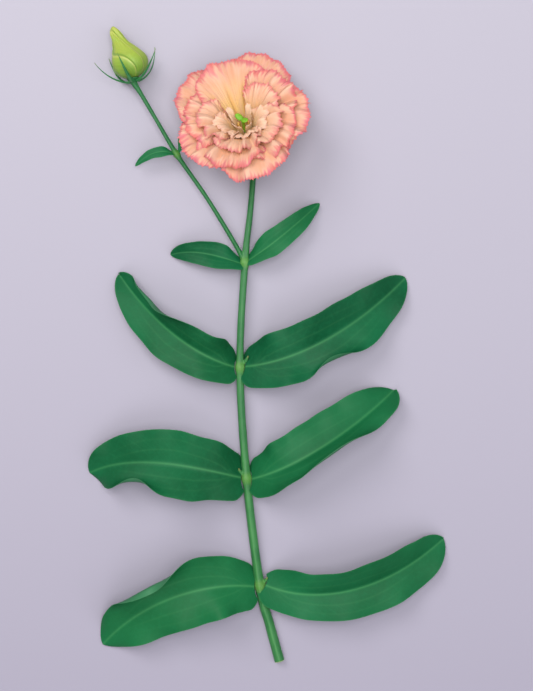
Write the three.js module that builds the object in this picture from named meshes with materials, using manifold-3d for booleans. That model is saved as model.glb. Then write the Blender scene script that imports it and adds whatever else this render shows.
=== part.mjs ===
// A lisianthus flower, cut with its stem and laid down on a level surface.
// Millimetres, +Z up. +Y runs along the stem from the cut end to the bloom.
// The origin is the middle of the outline at the surface that the flower rests on.
import * as THREE from "three";
import { mergeVertices } from "three/addons/utils/BufferGeometryUtils.js";
import Module from "manifold-3d";

const wasm = await Module();
wasm.setup();

// ---------------------------------------------------------------- driving dimensions
const ORIGIN_SHIFT = [-11.01, -5.06, -0.2]; // brings the outline's middle over the origin
const BLOOM_BASE = [0, 128, 8.4]; // where the petals stand on the receptacle
const BLOOM_TILT = 30; // degrees between the bloom's axis and the vertical
const BLOOM_AZIMUTH = 108; // degrees, the way the bloom leans
const PETAL_THICKNESS = 0.6;
const LAP = [1, 1, 1, 0.75, 0.2]; // each edge of a petal stands this far in or out of its whorl
const LEAF_THICKNESS = 0.9;
const SEPAL_THICKNESS = 0.8;
const WAVE = 0.7; // height of the blades' waves
const GAP = 0.3; // clearance between a piece and the piece that carries it

// Whorls from the outside in: radius at the base, petal length, widest half width,
// the angle from the axis at each of ARC millimetres along the petal, how much that
// changes towards the side the bloom leans to, and how much less the flanks open.
const ARC = [0, 12, 24, 36, 48];
const WHORLS = [
  { r0: 6.3, length: 47, half: 25, angle: [25, 33, 51, 76, 96], lean: -13, side: 5 },
  { r0: 5.5, length: 45, half: 24, angle: [19, 27.5, 44.5, 68, 87], lean: -13, side: 5 },
  { r0: 4.7, length: 40, half: 19, angle: [12, 19.5, 35, 59, 77], lean: -14, side: 4 },
  { r0: 3.9, length: 32, half: 13, angle: [6, 13, 29.5, 52, 70], lean: -15, side: 2 },
  { r0: 3.25, length: 29, half: 3.8, angle: [3, 5, 16.5, 40, 58], lean: -11, side: 0 },
];
// Petals: name, whorl, bearing round the axis in degrees, length and width factors.
// The upper side of the bowl is left open in the third and fourth whorls.
const PETALS = [
  ["petal_outer_1", 0, 144, 1.06, 1.0],
  ["petal_outer_2", 0, 72, 1.06, 1.0],
  ["petal_outer_3", 0, 0, 0.98, 1.0],
  ["petal_outer_4", 0, -72, 1.0, 1.02],
  ["petal_outer_5", 0, -144, 0.97, 1.0],
  ["petal_second_1", 1, 108, 1.08, 1.12],
  ["petal_second_2", 1, 36, 1.0, 1.0],
  ["petal_second_3", 1, -36, 0.98, 1.0],
  ["petal_second_4", 1, -108, 1.0, 1.0],
  ["petal_second_5", 1, 180, 0.98, 1.0],
  ["petal_third_1", 2, 33, 0.97, 1.0],
  ["petal_third_2", 2, -33, 1.0, 1.0],
  ["petal_third_3", 2, -99, 0.98, 1.0],
  ["petal_third_4", 2, -165, 1.0, 0.96],
  ["petal_fourth_1", 3, -14, 1.0, 1.0],
  ["petal_fourth_2", 3, -80, 0.96, 1.0],
  ["petal_fourth_3", 3, -146, 1.02, 0.96],
  ["petal_strip_1", 4, 50, 1.0, 1.0],
  ["petal_strip_2", 4, 164, 1.06, 1.0],
  ["petal_strip_3", 4, -48, 0.9, 1.0],
  ["petal_strip_4", 4, -112, 0.96, 1.0],
];
// Main stem: x, y, z of the axis and the radius, from the cut end to the receptacle.
const STEM = [
  [19, -186, 3.2, 2.9],
  [13, -164, 3.3, 2.8],
  [7, -140, 4.2, 2.7],
  [-1, -75, 6.0, 2.5],
  [-5, -8, 7.0, 2.3],
  [-2, 55, 6.4, 2.1],
  [1, 84, 3.8, 1.8],
  [2.6, 103, 2.1, 1.7],
  [2.9, 115.5, 2.05, 1.7],
];
const STEM_NODES = [2, 3, 4, 5]; // places where leaves or branches join
const BRANCH = [
  [-2, 55, 6.4, 1.5],
  [-9, 68, 8.0, 1.35],
  [-25, 94, 9.4, 1.25],
  [-43, 120, 9.8, 1.25],
  [-56, 142, 10.0, 1.2],
  [-64, 155.5, 10.6, 1.3],
];
const BRANCH_NODES = [3];
const BUD_BASE = [-69, 165.5, 11.1];
const BUD_AXIS = [-0.22, 0.97, 0.02];
const RECEPTACLE_R = 7.0;
const BUD_RECEPTACLE_R = 4.4;
// Closed bud: distance along its axis and radius.
const BUD = [
  [0, 3.6], [2, 7.2], [5, 9.9], [8.5, 10.9], [12, 10.3], [16, 8.2], [20, 5.9], [24, 4.3], [28, 3.2], [31, 2.0], [32.5, 0.9],
];
const BUD_LEAN = [-5.5, 1.2]; // the tip leans this far to the side and down
// Leaves: name, four points of the midrib, upward direction at base, middle and tip,
// widest half width, where it is widest, arch across the blade (positive: edges down),
// bluntness of the tip, rise of the left and right half from the midrib in degrees, twist of the
// blade in degrees, how far the left and right margin roll up in degrees, and where and over what span.
const LEAVES = [
  ["leaf_low_right", [[10.6, -139.4, 7.0], [42, -150, 25], [84, -141, 18], [118, -112, 1.4]], [[-0.22, 0.3, 0.93], [-0.08, -0.1, 0.99], [0.0, -0.12, 0.99]], 17.5, 0.56, 0.12, 3.0, [38, 16], 6, [0, 0], 0.6, 0.2],
  ["leaf_low_left", [[3.6, -140.2, 7.4], [-22, -134, 29], [-62, -145, 20], [-88, -176, 1.4]], [[0.22, 0.3, 0.93], [0.0, 0.2, 0.98], [-0.1, 0.1, 0.98]], 21.0, 0.46, 0.14, 2.3, [18, 24], -12, [-20, 150], 0.6, 0.17],
  ["leaf_middle_left", [[-4.5, -74.4, 8.6], [-30, -67, 29], [-68, -58, 19], [-96.05, -72, 1.4]], [[0.22, 0.3, 0.93], [0.1, -0.1, 0.98], [-0.1, -0.1, 0.98]], 21.0, 0.44, 0.12, 2.3, [26, 26], 12, [120, 0], 0.66, 0.14],
  ["leaf_middle_right", [[2.4, -75.2, 8.4], [26, -68, 29], [60, -48, 19], [88, -22, 1.4]], [[-0.22, 0.3, 0.93], [-0.1, 0.1, 0.98], [0.1, 0.0, 0.98]], 18.5, 0.5, 0.12, 2.5, [20, 46], -12, [30, 60], 0.5, 0.25],
  ["leaf_high_right", [[-1.7, -7.6, 9.2], [26, -5, 28], [62, 12, 18], [95, 46, 1.4]], [[-0.24, 0.3, 0.92], [-0.1, 0.05, 0.98], [0.1, 0.1, 0.98]], 19.0, 0.46, 0.12, 2.4, [30, 20], 14, [0, 140], 0.5, 0.13],
  ["leaf_high_left", [[-8.4, -7.8, 9.0], [-29, -2, 27], [-56, 16, 18], [-78, 48, 1.4]], [[0.22, 0.3, 0.93], [0.1, 0.0, 0.98], [-0.05, 0.05, 0.98]], 16.5, 0.48, 0.12, 2.4, [22, 44], -18, [0, 90], 0.74, 0.2],
  ["leaf_top_right", [[-0.6, 55.8, 7.8], [13, 64, 15], [27, 76, 13], [43, 91, 3.2]], [[-0.3, 0.6, 0.75], [-0.2, 0.1, 0.97], [0, 0, 1]], 7.8, 0.4, 0.16, 1.8, [24, 24], 12, [0, 0], 0.6, 0.2],
  ["leaf_top_left", [[-3.4, 54.2, 7.4], [-17, 58, 13], [-31, 64, 12], [-47, 60, 2.6]], [[0.25, 0.6, 0.76], [0.1, 0.2, 0.97], [0, 0, 1]], 8.2, 0.4, 0.16, 1.8, [24, 24], -10, [0, 40], 0.6, 0.25],
  ["bract_left", [[-43.8, 120.2, 10.2], [-53, 123, 14], [-61, 120, 12], [-68, 113, 8]], [[0.4, 0.8, 0.4], [0.1, 0.2, 0.97], [0, 0, 1]], 3.4, 0.34, 0.15, 1.5, [14, 14], 0, [0, 0], 0.6, 0.2],
  ["bract_right", [[-42.2, 121.0, 10.2], [-38, 129, 13], [-37, 137, 12], [-37.5, 145, 9]], [[-0.5, 0.6, 0.5], [-0.3, 0.1, 0.95], [0, 0, 1]], 3.0, 0.34, 0.15, 1.5, [14, 14], 0, [0, 0], 0.6, 0.2],
];
const CLASP = 0.6; // half width at a large leaf's base as a share of the widest

// ---------------------------------------------------------------- small helpers
const rad = (d) => (d * Math.PI) / 180;
const clamp = (x, a, b) => Math.min(b, Math.max(a, x));
const smooth = (a, b, x) => {
  const t = clamp((x - a) / (b - a), 0, 1);
  return t * t * (3 - 2 * t);
};
const V = (a) => new THREE.Vector3(a[0], a[1], a[2]);

// Piecewise straight interpolation of values given at rising places.
function along(places, values, x) {
  for (let i = 1; i < places.length; i++)
    if (x <= places[i] || i === places.length - 1) {
      const t = (x - places[i - 1]) / (places[i] - places[i - 1]);
      return values[i - 1] + (values[i] - values[i - 1]) * t;
    }
}

// A thin closed sheet: a box whose two broad faces follow surface(u, v), u from -1 to 1, v from 0 to 1.
function sheet(surface, nu, nv, thickness) {
  const g = new THREE.BoxGeometry(2, 1, 1, nu, nv, 1);
  g.translate(0, 0.5, 0);
  const p = g.attributes.position;
  const e = 1e-3;
  for (let i = 0; i < p.count; i++) {
    const u = p.getX(i), v = p.getY(i), side = p.getZ(i);
    const c = surface(u, v);
    const du = surface(Math.min(1, u + e), v).sub(surface(Math.max(-1, u - e), v));
    const dv = surface(u, Math.min(1, v + e)).sub(surface(u, Math.max(0, v - e)));
    const n = du.cross(dv).normalize();
    c.addScaledVector(n, side * thickness);
    p.setXYZ(i, c.x, c.y, c.z);
  }
  return g;
}

// A round rod of changing radius along a curve, with flat ends.
function rod(curve, radius, sides, steps) {
  const g = new THREE.CylinderGeometry(1, 1, 1, sides, steps, false);
  const frames = [];
  let normal = new THREE.Vector3(0, 0, 1);
  for (let i = 0; i <= steps; i++) {
    const t = i / steps;
    const tangent = curve.getTangent(t);
    normal.addScaledVector(tangent, -normal.dot(tangent)).normalize();
    frames.push([curve.getPoint(t), normal.clone(), tangent.clone().cross(normal), radius(t)]);
  }
  const p = g.attributes.position;
  for (let i = 0; i < p.count; i++) {
    const k = Math.round((p.getY(i) + 0.5) * steps);
    const [c, n, b, r] = frames[k];
    // CylinderGeometry winds so that its axis is +Y: x, z are the section.
    const q = c.clone().addScaledVector(n, r * p.getX(i)).addScaledVector(b, -r * p.getZ(i));
    p.setXYZ(i, q.x, q.y, q.z);
  }
  return g;
}

function bare(geometry) {
  const g = geometry.clone();
  g.deleteAttribute("normal");
  g.deleteAttribute("uv");
  return mergeVertices(g, 1e-4);
}
function solid(geometry) {
  const g = bare(geometry);
  return new wasm.Manifold(
    new wasm.Mesh({ numProp: 3, vertProperties: new Float32Array(g.attributes.position.array), triVerts: new Uint32Array(g.index.array) }),
  );
}
function geometryOf(manifold) {
  const m = manifold.getMesh();
  const g = new THREE.BufferGeometry();
  g.setAttribute("position", new THREE.BufferAttribute(new Float32Array(m.vertProperties), 3));
  g.setIndex(new THREE.BufferAttribute(new Uint32Array(m.triVerts), 1));
  g.computeVertexNormals();
  return g;
}
const joined = (...geometries) => geometryOf(geometries.map(solid).reduce((a, b) => a.add(b)));
const cut = (geometry, ...tools) => geometryOf(tools.map(solid).reduce((a, b) => a.subtract(b), solid(geometry)));

// ---------------------------------------------------------------- materials
const matter = (color, roughness) => new THREE.MeshStandardMaterial({ color, roughness, metalness: 0 });
const PETAL = matter(0xf8c5a6, 0.6);
const LEAF = matter(0x1f7447, 0.5);
const STALK = matter(0x3f8f4a, 0.5);
const SEPAL = matter(0x1f6a3c, 0.5);
const BUD_GREEN = matter(0xa9c63a, 0.5);
const PISTIL = matter(0x6fb32e, 0.4);
const STAMEN = matter(0xe8c463, 0.6);

const root = new THREE.Group();
const flower = new THREE.Group();
flower.position.set(...ORIGIN_SHIFT);
root.add(flower);
function place(parent, name, geometry, material) {
  const mesh = new THREE.Mesh(geometry, material);
  mesh.name = name;
  parent.add(mesh);
  return mesh;
}

// ---------------------------------------------------------------- bloom
const tilt = rad(BLOOM_TILT), az = rad(BLOOM_AZIMUTH);
const bloomAxis = new THREE.Vector3(Math.sin(tilt) * Math.cos(az), Math.sin(tilt) * Math.sin(az), Math.cos(tilt));
const bloom = new THREE.Group();
bloom.position.set(...BLOOM_BASE);
// Turned about the level line square to the lean, so that bearings keep their sense seen from above.
bloom.quaternion.setFromUnitVectors(new THREE.Vector3(0, 0, 1), bloomAxis);
flower.add(bloom);

// Radius and height of a whorl's surface at arc length s and bearing theta.
function cup(w, s, theta) {
  const toLean = Math.cos(theta - az);
  const steps = 24;
  let r = w.r0, z = 0, a = 0;
  const ds = s / steps;
  for (let i = 0; i < steps; i++) {
    const x = (i + 0.5) * ds;
    a = along(ARC, w.angle, x) + w.lean * toLean * smooth(6, 36, x) - w.side * (1 - toLean ** 2) * smooth(8, 30, x);
    r += Math.sin(rad(a)) * ds;
    z += Math.cos(rad(a)) * ds;
  }
  return [r, z, rad(a)];
}
// One petal in the bloom's frame: a narrow claw that widens to a broad rounded blade.
// Each petal has one edge inside its neighbour's, and every blade of a whorl follows the same waves.
function petalSurface(whorl, bearing, lengthFactor, widthFactor) {
  const w = WHORLS[whorl];
  const length = w.length * lengthFactor, half = w.half * widthFactor;
  const theta0 = rad(bearing);
  return (u, v) => {
    const s = Math.max(1e-3, v * length * (1 - 0.2 * Math.abs(u) ** 2.4));
    const x = s / length;
    const hw = half * (0.1 + 0.9 * smooth(0.0, 0.78, x) ** 0.85) * (1 - 0.1 * smooth(0.8, 1, x));
    const [rc] = cup(w, s, theta0);
    // radians: claws stay clear of each other
    const limit = whorl === 4 ? 0.4 : 0.54 + 0.34 * smooth(0.28, 0.55, x);
    const reach = Math.min(hw / rc, limit);
    const theta = theta0 + u * reach;
    const [r, z, a] = cup(w, s, theta);
    const lap = LAP[whorl] * smooth(0.12, 0.36, x) * u;
    const wave = WAVE * smooth(0.5, 1, x) * Math.sin(7 * theta + 1.3 * whorl);
    const off = lap + wave;
    const rr = r - Math.cos(a) * off, zz = z + Math.sin(a) * off;
    return new THREE.Vector3(rr * Math.cos(theta - theta0), rr * Math.sin(theta - theta0), zz + GAP);
  };
}
for (const [name, whorl, bearing, fl, fw] of PETALS) {
  const [across, up] = [[9, 7], [9, 7], [8, 7], [7, 6], [3, 6]][whorl];
  const mesh = place(bloom, name, sheet(petalSurface(whorl, bearing, fl, fw), across, up, PETAL_THICKNESS), PETAL);
  mesh.rotation.z = rad(bearing);
}

// Pistil: ovary, style and a stigma of two broad lobes.
{
  const line = [[0, 0], [1.4, 0], [1.9, 3], [2.1, 7], [1.8, 11], [1.1, 14], [0.9, 17], [0.9, 20.5], [1.3, 21.8], [0, 22.2]];
  const body = new THREE.LatheGeometry(line.map(([x, y]) => new THREE.Vector2(x, y)), 10);
  body.rotateX(Math.PI / 2);
  const lobe = (sign) => {
    const g = new THREE.SphereGeometry(1, 8, 6);
    g.scale(2.6, 1.9, 1.0);
    g.rotateY(sign * -0.35);
    g.translate(sign * 2.1, 0, 22.4);
    return g;
  };
  const g = joined(body, lobe(1), lobe(-1));
  g.translate(0, 0, GAP);
  place(bloom, "pistil", g, PISTIL).rotation.z = -0.65;
}
// Stamens, between the pistil and the inner petals.
for (let i = 0; i < 5; i++) {
  const path = new THREE.CatmullRomCurve3([V([2.15, 0, GAP]), V([2.7, 0, 6]), V([2.6, 0, 11]), V([2.7, 0, 15.4])], false, "catmullrom", 0.5);
  const filament = rod(path, (t) => 0.42 - 0.1 * t, 5, 4);
  const anther = new THREE.SphereGeometry(1, 6, 5);
  anther.scale(0.85, 0.95, 2.3);
  anther.rotateY(0.1);
  anther.translate(2.9, 0, 16.2);
  place(bloom, "stamen_" + (i + 1), joined(filament, anther), STAMEN).rotation.z = rad(72 * i + 25);
}
// Sepals: narrow, spreading along the outside of the cup.
function sepalSurface(r0, length, half, angles, gap) {
  return (u, v) => {
    const s = v * length, steps = 12, ds = s / steps;
    let r = r0, z = gap, a = rad(angles[0]);
    for (let i = 0; i < steps; i++) {
      a = rad(along([0, 0.5, 1], angles, ((i + 0.5) * ds) / length));
      r += Math.sin(a) * ds;
      z += Math.cos(a) * ds;
    }
    const hw = half * (1 - 0.86 * v ** 1.4);
    const keel = 0.35 * half * (1 - u * u) * (1 - v);
    return new THREE.Vector3(r + keel * Math.cos(a), u * hw, z - keel * Math.sin(a));
  };
}
for (let i = 0; i < 5; i++) {
  const spread = [[62, 48, 34], [62, 55, 46], [62, 50, 40], [62, 46, 30], [62, 52, 44]][i];
  place(bloom, "sepal_" + (i + 1), sheet(sepalSurface(7.5, 23, 1.7, spread, -2.2), 2, 6, SEPAL_THICKNESS), SEPAL).rotation.z = rad(72 * i + 8);
}

// ---------------------------------------------------------------- stem, side branch and receptacles
const bump = (p, nodes, table, height, width) =>
  nodes.reduce((sum, i) => sum + height * Math.exp(-((p.distanceTo(V(table[i])) / width) ** 2)), 0);
const base = V(BLOOM_BASE), budBase = V(BUD_BASE), budAxis = V(BUD_AXIS).normalize();
const neck = (at, axis, back) => at.clone().addScaledVector(axis, -back);
const lines = [
  // curve, radii at its points, and where its swellings are
  [STEM, [neck(base, bloomAxis, 5.6), neck(base, bloomAxis, 3.2), base], [2.2, 4.6, RECEPTACLE_R], STEM_NODES, 10, 58],
  [BRANCH, [neck(budBase, budAxis, 3.4), budBase], [1.9, BUD_RECEPTACLE_R], BRANCH_NODES, 8, 30],
].map(([table, tail, tailRadii, nodes, sides, steps]) => {
  const curve = new THREE.CatmullRomCurve3([...table.map(V), ...tail], false, "catmullrom", 0.5);
  const radii = [...table.map((p) => p[3]), ...tailRadii];
  const radius = (extra) => (t) => {
    const x = t * (radii.length - 1), i = Math.min(Math.floor(x), radii.length - 2);
    return radii[i] + (radii[i + 1] - radii[i]) * (x - i) + bump(curve.getPoint(t), nodes, table, 0.7, 2.6) + extra;
  };
  return { shape: (extra = 0) => rod(curve, radius(extra), sides, steps) };
});
place(flower, "stem", joined(...lines.map((line) => line.shape())), STALK);
const socket = lines.map((line) => line.shape(GAP)); // what the leaves' bases are cut to

// ---------------------------------------------------------------- bud
{
  const bud = new THREE.Group();
  bud.position.set(...BUD_BASE);
  bud.quaternion.setFromUnitVectors(new THREE.Vector3(0, 0, 1), budAxis);
  flower.add(bud);
  const outline = [[0, 0], ...BUD.map(([z, r]) => [r, z]), [0, 33]];
  const g = new THREE.LatheGeometry(outline.map(([x, y]) => new THREE.Vector2(x, y)), 14);
  g.rotateX(Math.PI / 2);
  const p = g.attributes.position;
  for (let i = 0; i < p.count; i++) {
    const z = p.getZ(i), k = smooth(10, 33, z);
    const fold = 1 + 0.05 * Math.sin(5 * Math.atan2(p.getY(i), p.getX(i)) + z * 0.12) * smooth(2, 10, z);
    p.setXYZ(i, p.getX(i) * fold + BUD_LEAN[0] * k, p.getY(i) * fold + BUD_LEAN[1] * k, z + GAP);
  }
  place(bud, "bud", g, BUD_GREEN);
  // bearing (90 faces the ground) and the angles from the bud's axis at the start, middle and tip
  const needles = [[27, [72, 30, 10]], [153, [72, 26, 4]], [205, [72, 46, 26]], [270, [72, 44, 30]], [-26, [72, 50, 38]]];
  needles.forEach(([bearing, spread], i) => {
    place(bud, "bud_sepal_" + (i + 1), sheet(sepalSurface(5.2, 22, 1.1, spread, -1.6), 2, 6, SEPAL_THICKNESS), SEPAL).rotation.z = rad(bearing);
  });
}

// ---------------------------------------------------------------- leaves
function leafSurface(points, ups, half, widest, arch, blunt, fold, twist, curl, where, span, at) {
  const curve = new THREE.CubicBezierCurve3(...points.map((q) => V(q).sub(at)));
  return (u, v) => {
    const c = curve.getPoint(v), t = curve.getTangent(v);
    const k = smooth(0, 0.34, v);
    const up = V(ups[0]).lerp(V(ups[1]), k).lerp(V(ups[2]), smooth(0.5, 1, v));
    up.addScaledVector(t, -up.dot(t)).normalize();
    const side = t.clone().cross(up);
    const turn = rad(twist) * smooth(0.15, 0.55, v) * (1 - 0.7 * smooth(0.72, 1, v));
    const flat = side.clone();
    side.multiplyScalar(Math.cos(turn)).addScaledVector(up, -Math.sin(turn));
    up.multiplyScalar(Math.cos(turn)).addScaledVector(flat, Math.sin(turn));
    const foot = half > 10 ? CLASP : 0.42;
    const body = v < widest ? foot + (1 - foot) * Math.sin((Math.PI / 2) * (v / widest)) : (1 - ((v - widest) / (1 - widest)) ** blunt) ** 0.58;
    const hw = half * Math.max(body, 0.035);
    const k2 = u < 0 ? 0 : 1;
    const rise = rad(fold[k2]) * smooth(0.02, 0.3, v) * (1 - 0.5 * smooth(0.85, 1, v));
    const roll = rad(curl[k2]) * Math.exp(-(((v - where) / span) ** 2)) * (1 - 0.8 * smooth(0.86, 1, v));
    let across = 0, sag = 0;
    for (let i = 0; i < 14; i++) {
      const m = (Math.abs(u) * (i + 0.5)) / 14;
      const a = rise * smooth(0, 0.14, m) - 2 * arch * m + roll * smooth(0.4, 1, m);
      across += (Math.cos(a) * u) / 14;
      sag += (Math.sin(a) * Math.abs(u)) / 14;
    }
    const lobe = -0.12 * half * Math.abs(u) ** 3 * (1 - smooth(0, 0.2, v));
    return c.addScaledVector(side, across * hw).addScaledVector(up, sag * hw).addScaledVector(t, lobe);
  };
}
for (const [name, points, ups, half, widest, arch, blunt, fold, twist, curl, where, span] of LEAVES) {
  const at = V(points[0]);
  const small = half < 10;
  const blade = sheet(leafSurface(points, ups, half, widest, arch, blunt, fold, twist, curl, where, span, at), small ? 4 : 6, small ? 7 : 11, small ? 0.7 : LEAF_THICKNESS);
  const tools = socket.map((g) => g.clone().translate(-at.x, -at.y, -at.z));
  place(flower, name, cut(blade, ...tools), LEAF).position.copy(at);
}

export default root;
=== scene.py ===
"""A cut lisianthus flower lying on a pale surface, seen from straight above."""

import math

import bpy
import numpy as np
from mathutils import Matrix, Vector


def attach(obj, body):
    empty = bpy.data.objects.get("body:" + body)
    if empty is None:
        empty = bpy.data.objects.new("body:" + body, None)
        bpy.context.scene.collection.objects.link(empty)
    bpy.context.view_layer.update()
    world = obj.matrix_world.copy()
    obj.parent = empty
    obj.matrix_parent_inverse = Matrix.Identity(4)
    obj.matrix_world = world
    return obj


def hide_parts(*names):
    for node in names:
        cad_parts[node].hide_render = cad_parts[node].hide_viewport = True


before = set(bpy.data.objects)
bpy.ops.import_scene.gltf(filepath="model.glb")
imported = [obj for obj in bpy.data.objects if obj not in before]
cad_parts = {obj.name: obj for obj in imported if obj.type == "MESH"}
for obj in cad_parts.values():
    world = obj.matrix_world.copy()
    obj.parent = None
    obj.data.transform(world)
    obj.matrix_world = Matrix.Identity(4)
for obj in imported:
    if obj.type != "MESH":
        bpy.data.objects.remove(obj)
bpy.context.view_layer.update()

MM = 0.001
TAU = 2 * math.pi
SHIFT = np.array([-11.01, -5.06, -0.2])
FINE = 1.0

# ------------------------------------------------------------------ small maths


def smooth(a, b, x):
    t = np.clip((np.asarray(x, float) - a) / (b - a), 0, 1)
    return t * t * (3 - 2 * t)


def unit(v):
    v = np.asarray(v, float)
    return v / np.maximum(np.linalg.norm(v, axis=-1, keepdims=True), 1e-12)


def waves(x, rng, counts, weights):
    """A smooth irregular wave that repeats every turn of x."""
    return sum(w * np.sin(n * x + rng.uniform(0, TAU)) for n, w in zip(counts, weights))


def wander(x, rng, step, octaves=2):
    """A smooth irregular wave with features about step long."""
    out, total = 0, 0
    for k in range(octaves):
        f = TAU / step * 1.7**k
        for _ in range(2):
            out = out + 0.5**k * np.sin(f * rng.uniform(0.7, 1.3) * x + rng.uniform(0, TAU))
            total += 0.5**k
    return out / total


def catmull(points, n):
    """The curve that part.mjs runs its stalks along, with n points, and the place of each along the table."""
    P = np.asarray(points, float)
    P = np.vstack([2 * P[0] - P[1], P, 2 * P[-1] - P[-2]])
    t = np.linspace(0, len(P) - 3, n)
    i = np.minimum(t.astype(int), len(P) - 4)
    f = (t - i)[:, None]
    a, b, c, d = P[i], P[i + 1], P[i + 2], P[i + 3]
    m0, m1 = 0.5 * (c - a), 0.5 * (d - b)
    q = (2 * f**3 - 3 * f**2 + 1) * b + (f**3 - 2 * f**2 + f) * m0 + (-2 * f**3 + 3 * f**2) * c + (f**3 - f**2) * m1
    return q, t


def bezier(points, t):
    a, b, c, d = np.asarray(points, float)
    t = np.asarray(t)[..., None]
    p = (1 - t) ** 3 * a + 3 * (1 - t) ** 2 * t * b + 3 * (1 - t) * t**2 * c + t**3 * d
    g = 3 * (1 - t) ** 2 * (b - a) + 6 * (1 - t) * t * (c - b) + 3 * t**2 * (d - c)
    return p, unit(g)


def turn_to(axis):
    """The rotation that takes +Z to axis by the shortest way."""
    a = unit(axis)
    v = np.cross([0, 0, 1], a)
    k = np.array([[0, -v[2], v[1]], [v[2], 0, -v[0]], [-v[1], v[0], 0]])
    return np.eye(3) + k + k @ k / (1 + a[2])


# ------------------------------------------------------------------ meshes


def make(name, verts, faces, attributes=None, sharp=None, smooth_shade=True):
    """A mesh object from millimetres in the flower's own frame."""
    mesh = bpy.data.meshes.new(name)
    v = (np.asarray(verts) + SHIFT) * MM
    f = np.asarray(faces, dtype=np.int32)
    mesh.vertices.add(len(v))
    mesh.vertices.foreach_set("co", v.astype(np.float32).ravel())
    mesh.loops.add(f.size)
    mesh.loops.foreach_set("vertex_index", f.ravel())
    mesh.polygons.add(len(f))
    mesh.polygons.foreach_set("loop_start", np.arange(0, f.size, f.shape[1], dtype=np.int32))
    mesh.update(calc_edges=True)
    mesh.validate()
    for key, values in (attributes or {}).items():
        a = mesh.attributes.new(key, "FLOAT", "POINT")
        a.data.foreach_set("value", np.asarray(values, dtype=np.float32).ravel())
    if smooth_shade:
        mesh.polygons.foreach_set("use_smooth", np.ones(len(mesh.polygons), dtype=bool))
    if sharp is not None:
        e = np.empty(len(mesh.edges) * 2, dtype=np.int32)
        mesh.edges.foreach_get("vertices", e)
        e = e.reshape(-1, 2)
        flags = (sharp[e[:, 0]] > 0) & (sharp[e[:, 0]] == sharp[e[:, 1]])
        s = mesh.attributes.new("sharp_edge", "BOOLEAN", "EDGE")
        s.data.foreach_set("value", flags)
    ob = bpy.data.objects.new(name, mesh)
    bpy.context.scene.collection.objects.link(ob)
    return ob


def grid_normals(P):
    du = np.gradient(P, axis=1)
    dv = np.gradient(P, axis=0)
    return unit(np.cross(du, dv))


def shell(name, P, thickness, attributes, floor=None):
    """A closed sheet round the grid P (rows, columns, 3), with its edge tapered by the thickness given."""
    ny, nx, _ = P.shape
    n = grid_normals(P)
    t = np.broadcast_to(np.asarray(thickness, float), (ny, nx))[..., None]
    top, low = P + n * t / 2, P - n * t / 2
    if floor is not None:
        low[..., 2] = np.maximum(low[..., 2], floor)
        top[..., 2] = np.maximum(top[..., 2], low[..., 2] + 0.12 * (n[..., 2] > 0) - 0.0)
    verts = np.vstack([top.reshape(-1, 3), low.reshape(-1, 3)])
    i = np.arange(ny * nx).reshape(ny, nx)
    q = np.stack([i[:-1, :-1], i[:-1, 1:], i[1:, 1:], i[1:, :-1]], -1).reshape(-1, 4)
    m = ny * nx
    faces = [q, q[:, ::-1] + m]
    rim = np.concatenate([i[0, :], i[1:, -1], i[-1, -2::-1], i[-2:0:-1, 0]])
    nxt = np.roll(rim, -1)
    faces.append(np.stack([rim, rim + m, nxt + m, nxt], -1))
    flags = np.zeros(2 * m, dtype=int)
    flags[rim], flags[rim + m] = 1, 2
    both = {k: np.concatenate([np.ravel(v), np.ravel(v)]) for k, v in attributes.items()}
    both["under"] = np.concatenate([np.zeros(m), np.ones(m)])
    return make(name, verts, np.vstack(faces), both, flags)


def tube_verts(path, radii, sides, profile=None, up=(0, 0, 1)):
    """Rings round a path. profile(phi, i) may change the radius."""
    n = len(path)
    tangent = unit(np.gradient(path, axis=0))
    normal = np.asarray(up, float)
    phi = np.arange(sides) / sides * TAU
    rings = []
    for k in range(n):
        normal = unit(normal - np.dot(normal, tangent[k]) * tangent[k])
        b = np.cross(tangent[k], normal)
        r = radii[k] * (profile(phi, k) if profile else 1.0)
        rings.append(path[k] + (np.cos(phi) * r)[:, None] * normal + (np.sin(phi) * r)[:, None] * b)
    return np.array(rings)


def ring_faces(n, sides, start=0):
    i = np.arange(n * sides).reshape(n, sides) + start
    j = np.roll(i, -1, axis=1)
    return np.stack([i[:-1], j[:-1], j[1:], i[1:]], -1).reshape(-1, 4)


def cap(verts, faces, ring, flip):
    """Closes a ring of vertices with a fan of quads round a middle point."""
    mid = len(verts)
    verts.append(np.mean([verts[k] for k in ring], axis=0))
    for a in range(0, len(ring), 2):
        q = [ring[a], ring[(a + 1) % len(ring)], ring[(a + 2) % len(ring)], mid]
        faces.append(q[::-1] if flip else q)


def closed_rings(rings):
    n, sides, _ = rings.shape
    verts = list(rings.reshape(-1, 3))
    faces = ring_faces(n, sides).tolist()
    cap(verts, faces, list(range(sides)), True)
    cap(verts, faces, list(range((n - 1) * sides, n * sides)), False)
    return np.array(verts), np.array(faces)


# ------------------------------------------------------------------ material helpers


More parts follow.
